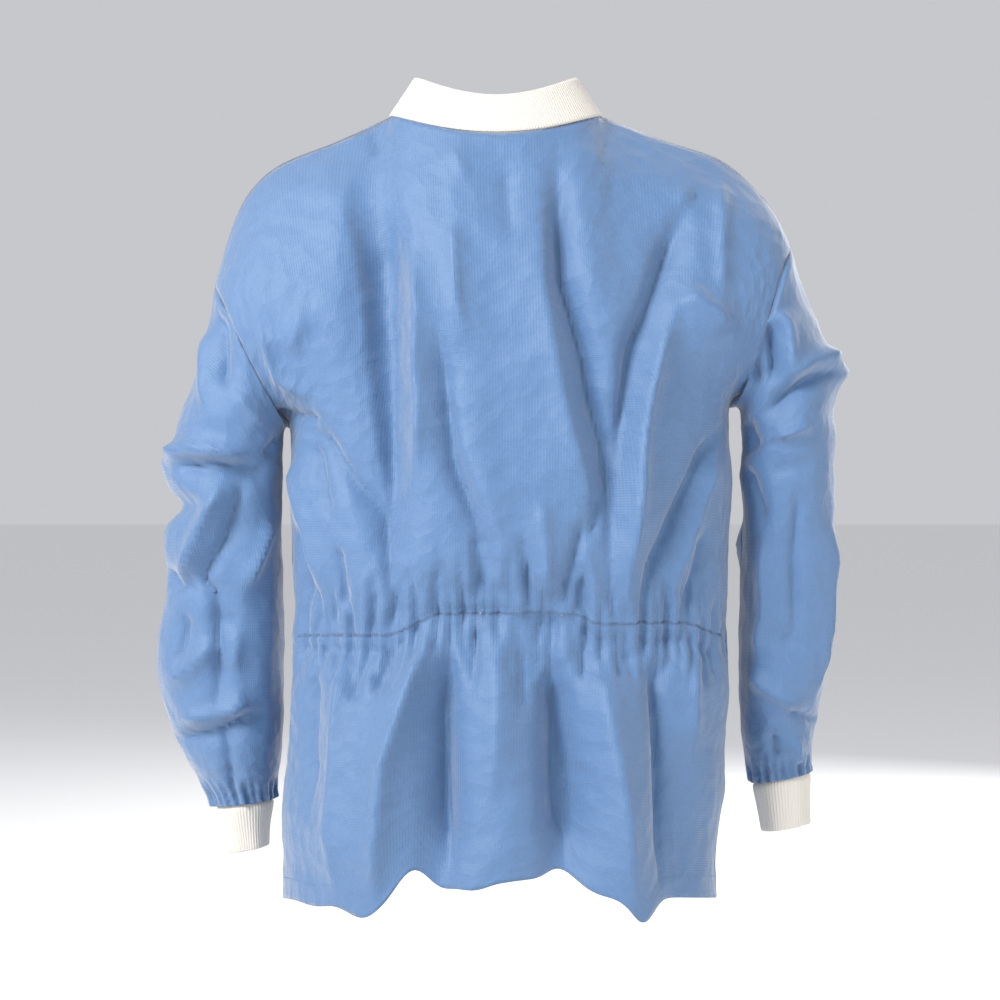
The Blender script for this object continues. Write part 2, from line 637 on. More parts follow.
WAIST_ROW = int(round(waist_share / PIT_ROW * NL))
gathered = np.zeros(len(base))  # 1 where an elastic or a knit edge gathers the cloth
reach_of_gather = 0.06 * (1 + 0.35 * np.sin(base[:, 0] / 17) + 0.3 * np.sin(base[:, 0] / 6.1 + 1))
gathered[is_back] = np.exp(-(((up_of - waist_share) / reach_of_gather) ** 2))[is_back]
gathered[is_sleeve] = smooth(0.84, 0.96, down_sleeve[is_sleeve])
elbow = np.exp(-(((down_sleeve - 0.34) / 0.12) ** 2)) * is_sleeve
full_across = 1.005 + 0.16 * gathered + 0.22 * gathered * is_sleeve
blouse = np.exp(-(((up_of - waist_share - 0.06) / 0.05) ** 2)) * is_back
full_down = 1.004 + 0.02 * blouse + 0.02 * elbow


def rest_lengths(pairs, shape):
    a, b, kind = pairs.T
    span = shape[b] - shape[a]
    across = (full_across[a] + full_across[b]) / 2
    down = (full_down[a] + full_down[b]) / 2
    length = np.linalg.norm(span, axis=1)
    mixed = np.sqrt((across**2 + down**2) / 2)
    factor = np.choose(kind, [across, down, mixed, across, down, 1 + 0 * across, 1 + 0 * across])
    slack = (gathered[a] + gathered[b]) / 2
    weight = np.choose(kind, [1.0, 1.0, 0.45, 0.12, 0.12, 0.1, 0.1])
    weight = np.where((kind == 5), weight * (1 - 0.95 * slack), weight)
    return length * factor, weight


def neighbour_table(count, pairs, rest, weight):
    source = np.r_[pairs[:, 0], pairs[:, 1]]
    target = np.r_[pairs[:, 1], pairs[:, 0]]
    order = np.argsort(source, kind="stable")
    source, target = source[order], target[order]
    rest, weight = np.r_[rest, rest][order], np.r_[weight, weight][order]
    place = np.arange(len(source)) - np.searchsorted(source, np.arange(count))[source]
    wide = place.max() + 1
    near = np.tile(np.arange(count)[:, None], (1, wide))
    rest_table, weight_table = np.ones((count, wide)), np.zeros((count, wide))
    near[source, place] = target
    rest_table[source, place] = rest
    weight_table[source, place] = weight
    return near, rest_table.astype(np.float32), weight_table.astype(np.float32)


# ------------------------------------------------------------------ where each part of the cloth wants to be
def calm_front():
    """0 on the plackets and along the neck and shoulder seams, 1 on the rest of the fronts."""
    calm = np.ones(len(base))
    for grid in (FL, FR):
        calm[grid] = smooth(4, 22, np.arange(len(grid)))[:, None] * smooth(1.0, 0.93, rows_up)[None]
    return calm


def fold_heights():
    """The height of the folds at every point, each on the side of the jacket that has them."""
    facing_back = smooth(0.0, 0.45, normal[:, 1])
    facing_front = smooth(0.1, -0.35, normal[:, 1])
    height = np.zeros(len(base))
    behind = (
        (is_back, BACK_FOLDS + gathers()), (is_left_sleeve, LEFT_SLEEVE_FOLDS),
        (is_right_sleeve, RIGHT_SLEEVE_FOLDS),
    )
    for mask, folds in behind:
        height[mask] = FOLD_DEPTH * fold_height(base[mask], folds) * facing_back[mask]
    height[is_front] = FRONT_DEPTH * fold_height(base[is_front], FRONT_FOLDS, False) * facing_front[is_front]
    for mask, folds in ((is_left_sleeve, RIGHT_SLEEVE_FOLDS), (is_right_sleeve, LEFT_SLEEVE_FOLDS)):
        deep = FOLD_DEPTH * FRONT_OF_SLEEVE * facing_front[mask]
        height[mask] += fold_height(base[mask], mirrored(folds), False) * deep
    height[is_front] *= calm_front()[is_front]
    return height


def skirt_drape():
    """The skirt's big drape folds, which grow from the waist down."""
    x, z = base[:, 0], base[:, 2]
    grow = smooth(WAIST_Z - 25, WAIST_Z - 150, z) * is_back
    drape = sum(out * np.exp(-(((x - at) / wide) ** 2)) for at, out, wide in SKIRT_FOLDS)
    return grow * drape * 0.75


def creases_all_over():
    """Flat where the cloth is sewn or overlaps."""
    calm = np.ones(len(base))
    calm[is_back] = smooth(1.0, 0.93, up_of[is_back])
    calm[is_front] = calm_front()[is_front]
    calm[is_sleeve] = (smooth(0, 0.06, down_sleeve) * smooth(1, 0.93, down_sleeve))[is_sleeve]
    wrinkle = 2.4 * crumple(base, 7, (80, 170), 3) + 0.6 * crumple(base, 9, (28, 60), 4)
    return np.where(is_front, 0.8, 1.0) * wrinkle * calm


def move_hem_and_waist(goal):
    """The back hem rises and falls with the folds, and the gathered line dips to both sides."""
    px, pz = seen_from_behind(base)
    goal[is_back, 2] += (hem_lift(px) * smooth(0.22, 0.0, up_of))[is_back] * 0.85
    row_z = pz[B[:, WAIST_ROW]]
    column = np.zeros(len(base), int)
    column[B] = np.arange(len(B))[:, None]
    shift = (elastic_height(px) - row_z[column]) * np.exp(-(((up_of - waist_share) / 0.13) ** 2))
    goal[is_back, 2] += shift[is_back]


def gather_waist(goal, r):
    """Small gathers either side of the elastic."""
    x = base[:, 0]
    ripple = np.zeros(len(base))
    for _ in range(5):
        wave = r.uniform(11, 26)
        ripple += np.sin(2 * math.pi * x / wave + r.uniform(0, 6.3) + 2.0 * np.sin(x / r.uniform(25, 60)))
    reach = np.exp(-np.abs(up_of - waist_share) / 0.03)
    goal += normal * (0.85 * ripple * reach * is_back)[:, None]


def gather_wrists(goal, r):
    down = np.arange(1, NS + 1) / NS
    for grid in (SL, SR):
        turn = np.arange(grid.shape[1]) / grid.shape[1] * 2 * math.pi
        wave = sum(np.sin(n * turn + r.uniform(0, 6.3)) for n in (13, 17, 22, 9)) * 1.1
        amount = smooth(0.84, 0.97, down) * smooth(1.0, 0.985, down)
        goal[grid[1:]] += normal[grid[1:]] * (amount[:, None] * wave[None])[..., None]


def bend_elbows(goal):
    """The left elbow nips in, with cloth hanging over it. The right one juts out, with a nip below it."""
    x, z = base[:, 0], base[:, 2]
    nip = np.exp(-(((z + 394) / 14) ** 2)) * -17 + np.exp(-(((z + 350) / 15) ** 2)) * 9
    nip += np.exp(-(((z + 555) / 60) ** 2)) * 6
    goal[:, 0] += is_left_sleeve * smooth(285, 335, x) * nip
    jut = np.exp(-(((z + 256) / 14) ** 2)) * -15 + np.exp(-(((z + 300) / 18) ** 2)) * 5
    goal[:, 0] += is_right_sleeve * smooth(-290, -330, x) * jut


def goal_shape():
    height = fold_heights() + skirt_drape() + creases_all_over()
    goal = base + normal * height[:, None]
    goal[:, 2] -= 0.5 * height * smooth(0.2, 0.0, up_of) * is_front
    move_hem_and_waist(goal)
    r = np.random.default_rng(11)
    gather_waist(goal, r)
    gather_wrists(goal, r)
    bend_elbows(goal)
    return goal


def hold():
    """How firmly each point keeps to its place: 1 is fixed."""
    pull = np.full(len(base), 0.03)
    pull[is_back & (gathered > 0.3)] = 0.008
    for grid in (FL, FR):
        across = np.arange(len(grid))
        pull[grid] = np.maximum(pull[grid], lerp(0.5, 0.02, smooth(LAPC + 6, LAPC + 26, across))[:, None])
    for grid in (B, FL, FR):
        pull[grid[:, -1]] = 0.6
        pull[grid[:, -2]] = 0.2
    pull += is_back * 0.25 * np.exp(-(((up_of - waist_share) / 0.008) ** 2))
    # the underarm side of the sleeve and the side of the body hang close together
    across = np.abs(base[:, 0])
    body_side = ~is_sleeve & (across > 190) & (base[:, 2] < -290)
    close = (is_sleeve & (across < 250)) | body_side
    pull[close] = np.maximum(pull[close], 0.05)
    for grid in (SL, SR):
        pull[grid[-1]] = 1.0
        pull[grid[-2]] = 0.3
    pull[B[:, 0]] = np.maximum(pull[B[:, 0]], 0.02)
    return pull


def relax(p, goal, pull, table, rounds):
    near, rest, weight = table
    share = (weight / np.maximum(weight.sum(1), 1e-6)[:, None]).astype(np.float32)
    p, goal, pull = p.astype(np.float32), goal.astype(np.float32), pull.astype(np.float32)[:, None]
    before = p.copy()
    for _ in range(rounds):
        span = p[near] - p[:, None]
        length = np.sqrt(np.einsum("nkd,nkd->nk", span, span)) + 1e-5
        move = np.einsum("nk,nkd->nd", share * (1 - rest / length), span)
        new = p + RELAX_STEP * move + RELAX_CARRY * (p - before)
        new += pull * (goal - new)
        before, p = p, new
    return p.astype(float)


goal = goal_shape()
rest, weight = rest_lengths(every, goal)
cloth = goal
cloth = relax(goal, goal, hold(), neighbour_table(len(base), every, rest, weight), RELAX_ROUNDS)
far = cloth - base
length = np.linalg.norm(far, axis=1)
limit = np.where(is_back | is_sleeve, MOST_MOVE, MOST_FRONT_MOVE)
cloth = base + far * np.minimum(1, limit / np.maximum(length, 1e-6))[:, None]
cloth[~used] = base[~used]


def seam_lines():
    neck = round(NECK_SHARE * NC)
    return {
        "left_side": B[2 * NC, : NL + 1], "right_side": B[0, : NL + 1],
        "left_shoulder": B[NC + neck:, NR], "right_shoulder": B[: NC - neck + 1, NR][::-1],
        "left_armhole": SL[0], "right_armhole": SR[0],
    }


SEAMS = seam_lines()
cloth_normal = normals_of(cloth, ALL_QUADS)
on_seam = np.unique(np.concatenate([s.ravel() for s in SEAMS.values()]))
cloth[on_seam] -= cloth_normal[on_seam] * SEAM_SINK

# the left front stands out over the right one's snaps, and both meet the snaps' halves
for grid, rise, extra in ((FL, LAP_RISE, 0.9), (FR, 0, 0.6)):
    ids = np.unique(grid)
    x = np.abs(cloth[ids, 0])
    lift = np.where(cloth[ids, 0] * (1 if grid is FL else -1) < 0, 1, 1 - smooth(28, 60, x))
    cloth[ids] += cloth_normal[ids] * ((rise + extra) * lift * (is_front[ids]))[:, None]
cloth_normal = normals_of(cloth, ALL_QUADS)


# ------------------------------------------------------------------ materials
def tree(name):
    material = bpy.data.materials.new(name)
    material.use_nodes = True
    nodes, wires = material.node_tree.nodes, material.node_tree.links
    return material, nodes, wires, nodes["Principled BSDF"]


def grid_height(nodes, wires, uv, pitch):
    """Rows of tiny embossed points in both directions, as a height."""
    split = nodes.new("ShaderNodeSeparateXYZ")
    wires.new(uv, split.inputs[0])
    waves = []
    for axis in (0, 1):
        turn = nodes.new("ShaderNodeMath")
        turn.operation = "MULTIPLY"
        turn.inputs[1].default_value = 2 * math.pi / pitch
        wires.new(split.outputs[axis], turn.inputs[0])
        wave = nodes.new("ShaderNodeMath")
        wave.operation = "SINE"
        wires.new(turn.outputs[0], wave.inputs[0])
        waves.append(wave)
    both = nodes.new("ShaderNodeMath")
    both.operation = "ADD"
    wires.new(waves[0].outputs[0], both.inputs[0])
    wires.new(waves[1].outputs[0], both.inputs[1])
    return both.outputs[0]


def noise(nodes, wires, vector, scale, detail=3.0):
    made = nodes.new("ShaderNodeTexNoise")
    made.inputs["Scale"].default_value = scale
    made.inputs["Detail"].default_value = detail
    wires.new(vector, made.inputs["Vector"])
    return made.outputs["Fac"]


def nonwoven():
    material, nodes, wires, shader = tree("nonwoven_blue")
    place = nodes.new("ShaderNodeTexCoord")
    uv = place.outputs["UV"]
    mottle = noise(nodes, wires, uv, 220.0, 4.0)
    tint = nodes.new("ShaderNodeMix")
    tint.data_type = "RGBA"
    tint.inputs["A"].default_value = (0.014, 0.102, 0.268, 1)
    tint.inputs["B"].default_value = (0.036, 0.136, 0.322, 1)
    wires.new(mottle, tint.inputs["Factor"])
    wires.new(tint.outputs["Result"], shader.inputs["Base Color"])
    shader.inputs["Roughness"].default_value = 0.68
    shader.inputs["IOR"].default_value = 1.95
    shader.inputs["Specular Tint"].default_value = (1.0, 0.95, 0.80, 1)
    shader.inputs["Sheen Weight"].default_value = 0.4
    shader.inputs["Sheen Roughness"].default_value = 0.55
    shader.inputs["Sheen Tint"].default_value = (1.0, 0.92, 0.80, 1)
    emboss = nodes.new("ShaderNodeBump")
    emboss.inputs["Strength"].default_value = 0.30
    emboss.inputs["Distance"].default_value = 0.00022
    wires.new(grid_height(nodes, wires, uv, 0.0023), emboss.inputs["Height"])
    creases = nodes.new("ShaderNodeBump")
    creases.inputs["Strength"].default_value = 0.7
    creases.inputs["Distance"].default_value = 0.0026
    cells = nodes.new("ShaderNodeTexVoronoi")
    cells.inputs["Scale"].default_value = 52.0
    wires.new(uv, cells.inputs["Vector"])
    crinkle = nodes.new("ShaderNodeMath")
    crinkle.operation = "ADD"
    wires.new(noise(nodes, wires, uv, 48.0, 5.0), crinkle.inputs[0])
    wires.new(cells.outputs["Distance"], crinkle.inputs[1])
    wires.new(crinkle.outputs[0], creases.inputs["Height"])
    wires.new(emboss.outputs[0], creases.inputs["Normal"])
    wires.new(creases.outputs[0], shader.inputs["Normal"])
    return material


def plain(name, colour, roughness, sheen=0.0, bump=None):
    material, nodes, wires, shader = tree(name)
    shader.inputs["Base Color"].default_value = (*colour, 1)
    shader.inputs["Roughness"].default_value = roughness
    shader.inputs["Sheen Weight"].default_value = sheen
    if bump:
        place = nodes.new("ShaderNodeTexCoord")
        rough = nodes.new("ShaderNodeBump")
        rough.inputs["Strength"].default_value = 0.5
        rough.inputs["Distance"].default_value = bump
        wires.new(noise(nodes, wires, place.outputs["UV"], 900.0), rough.inputs["Height"])
        wires.new(rough.outputs[0], shader.inputs["Normal"])
    return material


CLOTH = nonwoven()
KNIT = plain("rib_knit", (0.60, 0.565, 0.51), 0.85, 0.2, 0.0004)
THREAD = plain("grey_thread", (0.13, 0.16, 0.24), 0.7)
PALE_THREAD = plain("pale_thread", (0.14, 0.24, 0.42), 0.7)
ELASTIC = plain("white_elastic", (0.78, 0.80, 0.85), 0.8, 0.2, 0.0003)
SNAP = plain("snap_plastic", (0.86, 0.88, 0.90), 0.32)
ALLOWANCE = plain("seam_allowance", (0.13, 0.25, 0.46), 0.65, 0.3)


# ------------------------------------------------------------------ meshes
STITCH_LIFT, STITCH_RADIUS = 0.12, 0.2


def build(name, p, faces, material, uv=None, smooth_faces=True):
    """p in mm; faces of three or four corners; uv in metres for each point."""
    mesh = bpy.data.meshes.new(name)
    mesh.from_pydata((np.asarray(p) / 1000).tolist(), [], [list(map(int, f)) for f in faces])
    mesh.polygons.foreach_set("use_smooth", [smooth_faces] * len(mesh.polygons))
    if uv is not None:
        layer = mesh.uv_layers.new(name="cloth")
        corners = np.zeros(len(mesh.loops), np.int32)
        mesh.loops.foreach_get("vertex_index", corners)
        layer.data.foreach_set("uv", np.asarray(uv, np.float32)[corners].ravel())
    mesh.materials.append(material)
    piece = bpy.data.objects.new(name, mesh)
    bpy.context.scene.collection.objects.link(piece)
    return piece


def uv_grid(across, along):
    """A grid of flat places from the places across it and along it."""
    return np.stack(np.broadcast_arrays(across[:, None], along[None]), -1)


def lining(name, p, wide, tall, thickness):
    """A grid of points as a thin sheet of cloth, wide by tall metres when flat."""
    uv = uv_grid(np.linspace(0, wide, len(p)), np.linspace(0, tall, p.shape[1])).reshape(-1, 2)
    flat = p.reshape(-1, 3)
    faces = turned_out(flat, quads_of(np.arange(len(flat)).reshape(p.shape[:2])), AXIS)
    return thicken(build(name, flat, faces, CLOTH, uv), thickness)


def cut_out(quads, uv_all):
    ids, faces = np.unique(quads, return_inverse=True)
    return ids, faces.reshape(quads.shape), uv_all[ids]


def thicken(piece, thickness_mm):
    """Gives a cloth piece its thickness on the inner side."""
    layer = piece.modifiers.new("thickness", "SOLIDIFY")
    layer.thickness = thickness_mm / 1000
    layer.offset = -1
    depsgraph = bpy.context.evaluated_depsgraph_get()
    mesh = bpy.data.meshes.new_from_object(piece.evaluated_get(depsgraph))
    piece.modifiers.clear()
    piece.data = mesh
    return piece


def strip(name, lines, material, uv_scale=0.001):
    """A ribbon through rows of points, lines[k] is one long edge."""
    rows = np.asarray(lines, float)
    k, n = rows.shape[:2]
    index = np.arange(k * n).reshape(k, n)
    faces = quads_of(index)
    along = np.r_[0, np.cumsum(np.linalg.norm(np.diff(rows[0], axis=0), axis=1))]
    across = np.linalg.norm(rows[-1, 0] - rows[0, 0])
    uv = np.stack(np.meshgrid(along, np.linspace(0, across, k)), -1).reshape(-1, 2) * uv_scale
    return build(name, rows.reshape(-1, 3), faces, material, uv)


def tube(path, radius, sides=6):
    """Points and faces of a thread along a path."""
    path = np.asarray(path, float)
    run = np.gradient(path, axis=0)
    run /= np.maximum(1e-9, np.linalg.norm(run, axis=1))[:, None]
    up = np.where(np.abs(run[:, 2:3]) > 0.9, [[1.0, 0, 0]], [[0, 0, 1.0]])
    side = np.cross(run, up)
    side /= np.maximum(1e-9, np.linalg.norm(side, axis=1))[:, None]
    top = np.cross(side, run)
    turn = np.arange(sides) / sides * 2 * math.pi
    c, s = np.cos(turn)[None, :, None], np.sin(turn)[None, :, None]
    ring = path[:, None] + radius * (c * side[:, None] + s * top[:, None])
    index = np.arange(ring.shape[0] * sides).reshape(ring.shape[0], sides)
    faces = quads_of(index.T, closed=True).tolist()
    return ring.reshape(-1, 3), faces + [index[0].tolist(), index[-1][::-1].tolist()]


def threads(name, paths, radius, material):
    """Many short threads as one piece."""
    p, faces, start = [], [], 0
    for path in paths:
        ring, quads = tube(path, radius)
        p.append(ring)
        faces += [[start + i for i in f] for f in quads]
        start += len(ring)
    return build(name, np.concatenate(p), faces, material)


def evened(line, pitch):
    """The same line with points pitch mm apart."""
    line = np.asarray(line, float)
    along = np.r_[0, np.cumsum(np.linalg.norm(np.diff(line, axis=0), axis=1))]
    at = np.arange(0, along[-1], pitch)
    return np.stack([np.interp(at, along, line[:, k]) for k in range(3)], 1)


def stitches(line, pitch=3.2, share=0.62):
    """Straight stitches along a line: a short thread on every step of the pitch."""
    line = evened(line, pitch)
    made = []
    for a, b in zip(line[:-1], line[1:]):
        end = a + (b - a) * share
        middle = (a + end) / 2
        made.append([a, middle, end])
    return made


# ------------------------------------------------------------------ the cloth panels
BACK_CUT, FRONT_CUT, CUT_HEIGHT = 0.62, 0.33, 0.78  # metres, for the weave's scale


def panel_uv(grid, width):
    return uv_grid(np.linspace(0, width, len(grid)), rows_up * CUT_HEIGHT)


def flat_uv():
    """Every point's place on the flat cut, in metres."""
    uv = np.zeros((len(base), 2))
    for grid, width in ((B, BACK_CUT), (FL, FRONT_CUT), (FR, FRONT_CUT)):
        uv[grid] = panel_uv(grid, width)
    return uv


UV = flat_uv()


def panel(name, quads, uv):
    ids, faces, own = cut_out(quads, uv)
    return build(name, cloth[ids], faces, CLOTH, own)


def front_uv(grid):
    """The same places, with the seams that this front shares counted as its own."""
    uv = UV.copy()
    uv[grid] = panel_uv(grid, FRONT_CUT)
    return uv


def sleeve_piece(name, grid):
    """The sleeve's own net, opened along its underarm so that its flat cut has two edges."""
    opened = np.concatenate([grid[:, NU:], grid[:, : NU + 1]], 1)
    p = cloth[opened]
    n = p.shape[1]
    index = np.arange(p.shape[0] * n).reshape(p.shape[:2])
    girth, length = np.linspace(0, 0.40, n), np.linspace(0, 0.50, len(p))
    uv = np.stack(np.broadcast_arrays(girth[None], length[:, None]), -1)
    flat = p.reshape(-1, 3)
    faces = turned_out(flat, quads_of(index), flat.mean(0))
    return build(name, flat, faces, CLOTH, uv.reshape(-1, 2))


THICK = 0.45
back_panel = panel("back_panel_cloth", Q["back_panel"], UV)
left_front = panel("left_front_cloth", Q["left_front"], front_uv(FL))
right_front = panel("right_front_cloth", Q["right_front"], front_uv(FR))
left_sleeve = sleeve_piece("left_sleeve_cloth", SL)
right_sleeve = sleeve_piece("right_sleeve_cloth", SR)
for piece in (back_panel, left_front, right_front, left_sleeve, right_sleeve):
    thicken(piece, THICK)


# ------------------------------------------------------------------ collar and cuffs in rib knit
KNIT_THICK = 3.0
RIB_PITCH = 2.6
RIB_DEPTH = 0.24
CUFF_RIBS = 56
CUFF_HEIGHT = 47
CUFF_TUCK = 2.6  # how far inside the sleeve's end the cuff's foot goes


def knit_profile(rows):
    """(share of the height, offset outwards, how much rib) round a doubled knit band, from the outer foot."""
    outer = [(u, 0.0, 1.0) for u in np.linspace(-0.12, 0.94, rows)]
    turn = [(0.985, -0.45, 0.6), (1.0, -1.5, 0.3), (0.985, -2.55, 0.6)]
    inner = [(u, -KNIT_THICK, 1.0) for u in np.linspace(0.94, -0.12, rows)]
    return np.array(outer + turn + inner)


def collar_point(turn, up, sign):
    p = neckline(turn, sign)
    inward = 1 - (COLLAR_LEAN / NECK_HALF_WIDTH) * up
    x = lerp(NECK_SHIFT, p[..., 0], inward)
    return np.stack([x, p[..., 1] * (1 - 0.14 * up), p[..., 2] + COLLAR_HEIGHT * up], -1)


def unit(v):
    return v / np.maximum(1e-9, np.linalg.norm(v, axis=-1))[..., None]


def collar_half(name, sign):
    columns = 620
    turn = np.linspace(0, math.pi - 0.03, columns)
    foot = collar_point(turn, 0.5, sign)
    along = np.r_[0, np.cumsum(np.linalg.norm(np.diff(foot, axis=0), axis=1))]
    shape = knit_profile(13)
    t, u = np.meshgrid(turn, shape[:, 0], indexing="ij")
    p = collar_point(t, u, sign)
    run = collar_point(t + 0.01, u, sign) - collar_point(t - 0.01, u, sign)
    rise = collar_point(t, 1.0 + 0 * u, sign) - collar_point(t, 0 * u, sign)
    out = unit(np.cross(run, rise))
    middle = np.array([NECK_SHIFT, 0, 0])
    flip = np.sign(((p - middle) * out * [1, 1, 0]).sum(-1))[..., None]
    out = out * np.where(flip == 0, 1, flip)
    rib = RIB_DEPTH * np.cos(2 * math.pi * along / RIB_PITCH)[:, None] * shape[None, :, 2]
    wave = 0.9 * np.sin(along / 41)[:, None] * np.maximum(0, u) ** 2
    offset = shape[None, :, 1] + np.where(shape[None, :, 1] > -1.5, rib, -rib) + wave
    p = p + out * offset[..., None]
    index = np.arange(t.size).reshape(t.shape)
    faces = quads_of(index.T, closed=True).tolist()
    faces += [index[0][::-1].tolist(), index[-1].tolist()]
    around = np.linspace(0, 2 * COLLAR_HEIGHT, len(shape))
    uv = uv_grid(along, around).reshape(-1, 2) / 1000
    return build(name, p.reshape(-1, 3), facing_out(p.reshape(-1, 3), faces), KNIT, uv)


def facing_out(p, faces):
    """Turns a closed piece's faces the right way out."""
    total = 0.0
    for f in faces:
        a = p[f[0]]
        for b, c in zip(f[1:-1], f[2:]):
            total += np.dot(a, np.cross(p[b], p[c]))
    return faces if total > 0 else [f[::-1] for f in faces]


def cuff_piece(name, arm):
    columns = 8 * CUFF_RIBS
    turn = np.arange(columns) / columns * 2 * math.pi
    shape = knit_profile(12)
    height = shape[:, 0]  # the band's fold is at the hand
    down = np.clip(height, 0, 1)
    rings = through(arm["cuff"], down)
    t = turn[:, None] + 0 * down[None]
    p = ring_point(rings[None], t, arm["sign"])
    centre = np.stack([arm["sign"] * rings[:, 0], rings[:, 1], rings[:, 2]], -1)[None]
    out = unit((p - centre) * [1, 1, 0.0])
    rib = RIB_DEPTH * np.cos(CUFF_RIBS * t) * shape[None, :, 2]
    wave = 1.2 * np.sin(3 * t + 1.0) * down[None] ** 2 + 0.6 * np.sin(7 * t) * down[None]
    offset = shape[None, :, 1] + np.where(shape[None, :, 1] > -1.5, rib, -rib) + wave
    over = np.where(height < 0, height, 0) * CUFF_HEIGHT
    offset = offset - CUFF_TUCK * smooth(0.1, 0.0, height)[None]
    p = p + out * offset[..., None]
    p[..., 2] -= over[None]
    index = np.arange(t.size).reshape(t.shape)
    faces = quads_of(np.concatenate([index, index[:1]]).T, closed=True)
    uv = uv_grid(np.linspace(0, 0.17, columns), np.linspace(0, 0.1, len(shape)))
    flat = p.reshape(-1, 3)
    return build(name, flat, facing_out(flat, faces.tolist()), KNIT, uv.reshape(-1, 2))


left_collar, right_collar = collar_half("left_collar_knit", 1), collar_half("right_collar_knit", -1)
left_cuff, right_cuff = cuff_piece("left_cuff_knit", LEFT), cuff_piece("right_cuff_knit", RIGHT)


# ------------------------------------------------------------------ what is sewn inside the panels
def under(ids, depth):
    """The net's points pushed to the inside by depth mm."""
    return cloth[ids] - cloth_normal[ids] * np.asarray(depth, float)[..., None]


def facing_piece(name, grid, depth):
    """The turned-back edge of a front, as deep as the snap halves need it."""
    columns = LAPC + 6
    ids = grid[: columns, 2:-2]
    sink = lerp(0.6, depth, smooth(0, 1.2, np.arange(columns)))[:, None] + 0 * ids
    return lining(name, under(ids, sink), 0.036, 0.74, 0.4)


left_facing = facing_piece("left_placket_facing_cloth", FL, 4.6)
right_facing = facing_piece("right_placket_facing_cloth", FR, 4.6)


def hem_piece(name, grid, columns):
    ids = grid[columns, :5]
    return lining(name, under(ids, np.full(ids.shape, 0.75)), 0.3, 0.02, 0.3)


back_hem = hem_piece("back_hem", B, slice(1, -1))
left_hem = hem_piece("left_front_hem", FL, slice(LAPC + 7, -1))
right_hem = hem_piece("right_front_hem", FR, slice(LAPC + 7, -1))


def allowance(name, line, n, wide=8.0, start=0.8):
    """A seam allowance that stands inward from a seam, along n."""
    p = cloth[line]
    rows = [p + n * start, p + n * (start + wide / 2), p + n * (start + wide)]
    return thicken(strip(name, rows, ALLOWANCE), 0.7)


def overlock(name, line, n, wide=8.0, start=0.8):
    """The thread that binds an allowance's edge: loops over it."""
    edge = evened(cloth[line] + n * (start + wide), 2.6)
    back = evened(cloth[line] + n * (start + wide - 3), 2.6)
    count = min(len(edge), len(back))
    paths = [[edge[k], back[k]] for k in range(count)]
    return threads(name, paths, 0.22, PALE_THREAD)


def same_way(line, x, y, z):
    """One direction at every point of a line."""
    return unit(np.array([x, y, z], float) + 0 * cloth[line])


def sewn(node, line, inward, body):
    """A seam's allowance and its binding thread, with the frame's node and body it goes with."""
    binding = overlock(node + "_overlock", line, inward)
    return node, allowance(node + "_allowance", line, inward), binding, body


seam_pieces = []
for side, arm, sleeve_net in (("left", LEFT, SL), ("right", RIGHT, SR)):
    sign, sleeve_body = arm["sign"], side + "_sleeve_body"
    body_side = SEAMS[side + "_side"][2:-4]
    seam_pieces.append(sewn(side + "_side_seam", body_side, same_way(body_side, -sign, 0, 0), "jacket_body"))
    shoulder = SEAMS[side + "_shoulder"][3:-2]
    seam_pieces.append(sewn(side + "_shoulder_seam", shoulder, same_way(shoulder, 0, 0, -1), "jacket_body"))
    ring = np.r_[sleeve_net[0], sleeve_net[0][:1]]
    lean = unit(cloth[ring].mean(0) - cloth[ring]) + np.array([-sign * 0.25, 0, 0])
    seam_pieces.append(sewn(side + "_armhole_seam", ring, unit(lean), "jacket_body"))
    underarm = sleeve_net[3:-5, NU]
    seam_pieces.append(sewn(side + "_sleeve_seam", underarm, same_way(underarm, sign, 0, 0), sleeve_body))
    wrist = np.r_[sleeve_net[-3], sleeve_net[-3][:1]]
    to_middle = unit(cloth[wrist].mean(0) - cloth[wrist])
    cuff_seam = allowance(side + "_cuff_seam_allowance", wrist, to_middle, 5.0, 4.2)
    seam_pieces.append((side + "_cuff_seam", cuff_seam, None, sleeve_body))
neck_columns = round(NECK_SHARE * NC) - 2
neck_line = B[NC - neck_columns: NC + neck_columns + 1, NR]
below = same_way(neck_line, 0, -0.25, -1)
seam_pieces.append(("neck_seam", allowance("neck_seam_allowance", neck_line, below, 6.5, 1.0),
                    overlock("neck_seam_overlock", neck_line, below, 6.5, 1.0), "jacket_body"))


# ------------------------------------------------------------------ the back waist's elastic and its zigzag
waist_line = B[round(0.1 * NC): -round(0.1 * NC), WAIST_ROW]


def elastic_band():
    rows = []
    for depth, rise in ((2.6, 2.2), (1.6, 0.0), (2.6, -2.2)):
        p = cloth[waist_line] - cloth_normal[waist_line] * depth
        p[:, 2] += rise
        rows.append(p)
    return thicken(strip("waist_elastic_band", rows, ELASTIC), 1.0)


def waist_zigzag():
    line = evened(cloth[waist_line] + cloth_normal[waist_line] * 0.25, 1.55)
    line[::2, 2] += 1.1
    line[1::2, 2] -= 1.1
    return build("waist_zigzag_thread", *tube(line, 0.17, 5), THREAD)


def waist_straight_thread():
    line = cloth[waist_line] + cloth_normal[waist_line] * 0.2
    line[:, 2] -= 1.6
    return build("waist_lower_thread", *tube(evened(line, 2.0), 0.16, 5), THREAD)


elastic = elastic_band()
waist_thread = waist_zigzag()
waist_lower_thread = waist_straight_thread()


# ------------------------------------------------------------------ pockets
CHEST_POCKET = (84, 186, -292, -184)  # inner and outer x, low and high z
HIP_POCKET = (0.37, 0.9, -722, -566)  # shares of the panel's width, low and high z
POCKET_GAPE = 12.5


